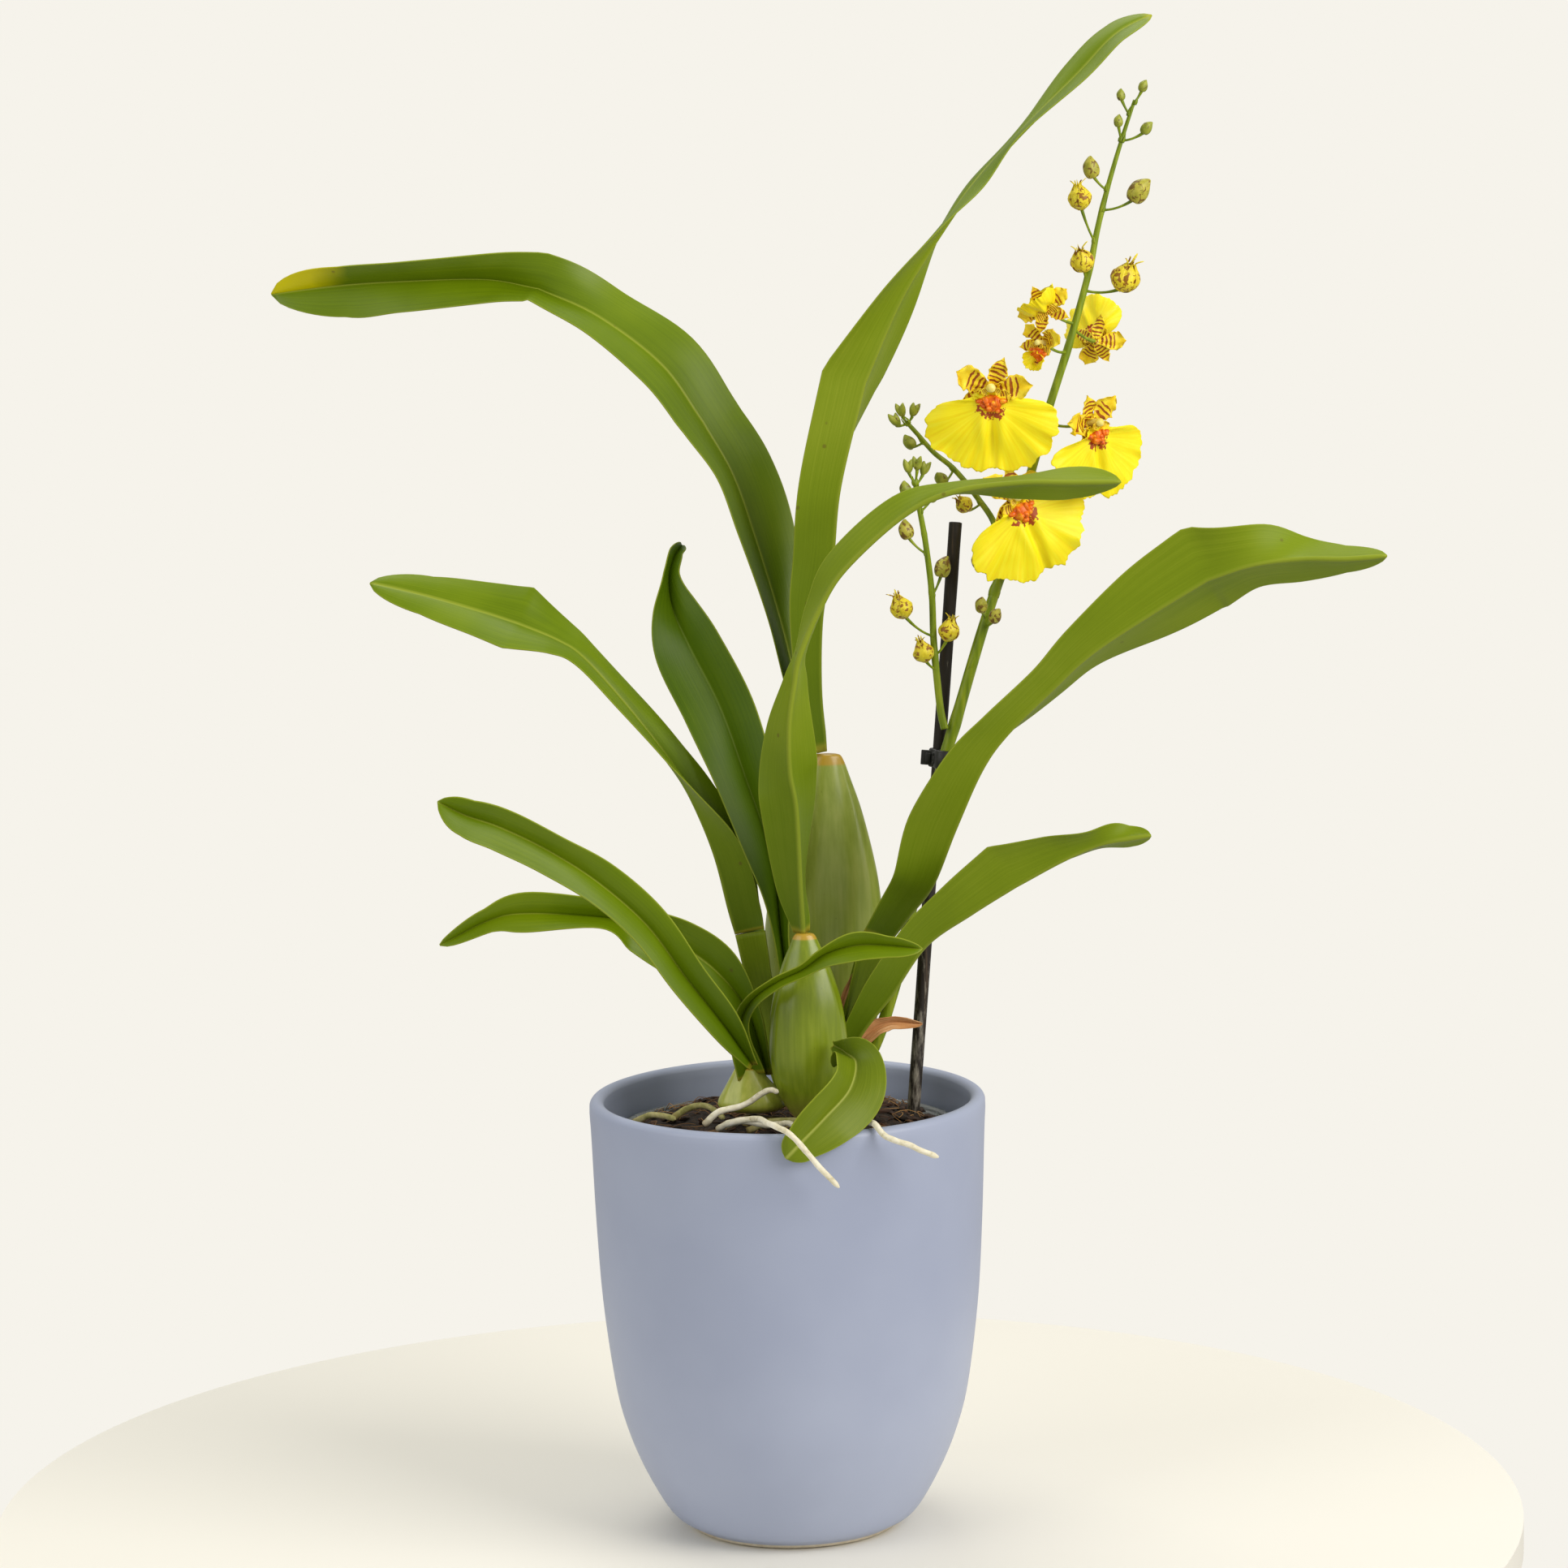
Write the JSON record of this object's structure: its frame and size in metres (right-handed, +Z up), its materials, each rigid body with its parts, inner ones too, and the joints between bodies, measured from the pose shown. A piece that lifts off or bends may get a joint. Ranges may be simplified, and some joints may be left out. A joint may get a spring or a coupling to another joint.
{
  "type": "potted orchid",
  "caption": "Oncidium orchid with ruffled yellow flowers, pseudobulbs and strap leaves, staked in a nursery pot inside a tapered blue ceramic pot.",
  "frame": {"origin": "centre of the ceramic pot's foot, on the surface it stands on", "axes": "+Z up along the pot's axis, -Y to the front from which the flowers are seen, +X to the right"},
  "size_m": [0.3853, 0.1522, 0.5308],
  "materials": {
    "glazed_ceramic": "satin blue-grey glaze, evenly smooth",
    "clear_plastic": "thin clear plastic, slightly scuffed",
    "medium": "damp dark peat and bark with fibres",
    "stake_wood": "dark stained cane, chalky near the medium",
    "clip_plastic": "black plastic",
    "pseudobulb": "glossy ribbed green skin",
    "rhizome": "woody, matte",
    "leaf": "satin green leaf, lighter underneath",
    "leaf_dark": "satin dark green leaf",
    "dry_bract": "papery, dry",
    "root_pale": "matte cream root skin",
    "root_green": "matte green-brown root skin",
    "flower_stem": "satin yellow-green stem and buds",
    "flower_lip": "soft bright yellow petal",
    "flower_barred": "yellow petal barred with red-brown"
  },
  "bodies": {
    "root": {"ceramic_pot": "glazed_ceramic", "nursery_pot": "clear_plastic", "growing_medium": "medium", "support_stake": "stake_wood", "stake_clip": "clip_plastic", "pseudobulb_back": "pseudobulb", "pseudobulb_front": "pseudobulb", "pseudobulb_left": "pseudobulb", "rhizome": "rhizome", "leaf_back_left": "leaf", "leaf_back_tall": "leaf", "leaf_front_arching": "leaf", "leaf_left_twisted": "leaf", "leaf_dark_upright": "leaf_dark", "leaf_low_left": "leaf", "leaf_low_left_behind": "leaf", "leaf_right_broad": "leaf", "leaf_right_low": "leaf", "leaf_curved_small": "leaf", "leaf_new_front": "leaf", "sheath_left": "leaf", "sheath_right": "leaf", "dry_bract": "dry_bract", "aerial_root_1": "root_pale", "aerial_root_2": "root_pale", "aerial_root_3": "root_pale", "aerial_root_4": "root_green", "aerial_root_5": "root_pale", "aerial_root_6": "root_green", "aerial_root_7": "root_green", "flower_spike": "flower_stem", "spray_left": "flower_stem", "spray_back": "flower_stem", "flower_large_lip": "flower_lip", "flower_large_perianth": "flower_barred", "flower_lower_lip": "flower_lip", "flower_lower_perianth": "flower_barred", "flower_right_lip": "flower_lip", "flower_right_perianth": "flower_barred", "flower_upper_left_lip": "flower_lip", "flower_upper_left_perianth": "flower_barred", "flower_turned_away_lip": "flower_lip", "flower_turned_away_perianth": "flower_barred", "flower_side_lip": "flower_lip", "flower_side_perianth": "flower_barred", "half_open_bud_left": "flower_barred", "half_open_bud_right": "flower_barred"}
  },
  "joints": []
}
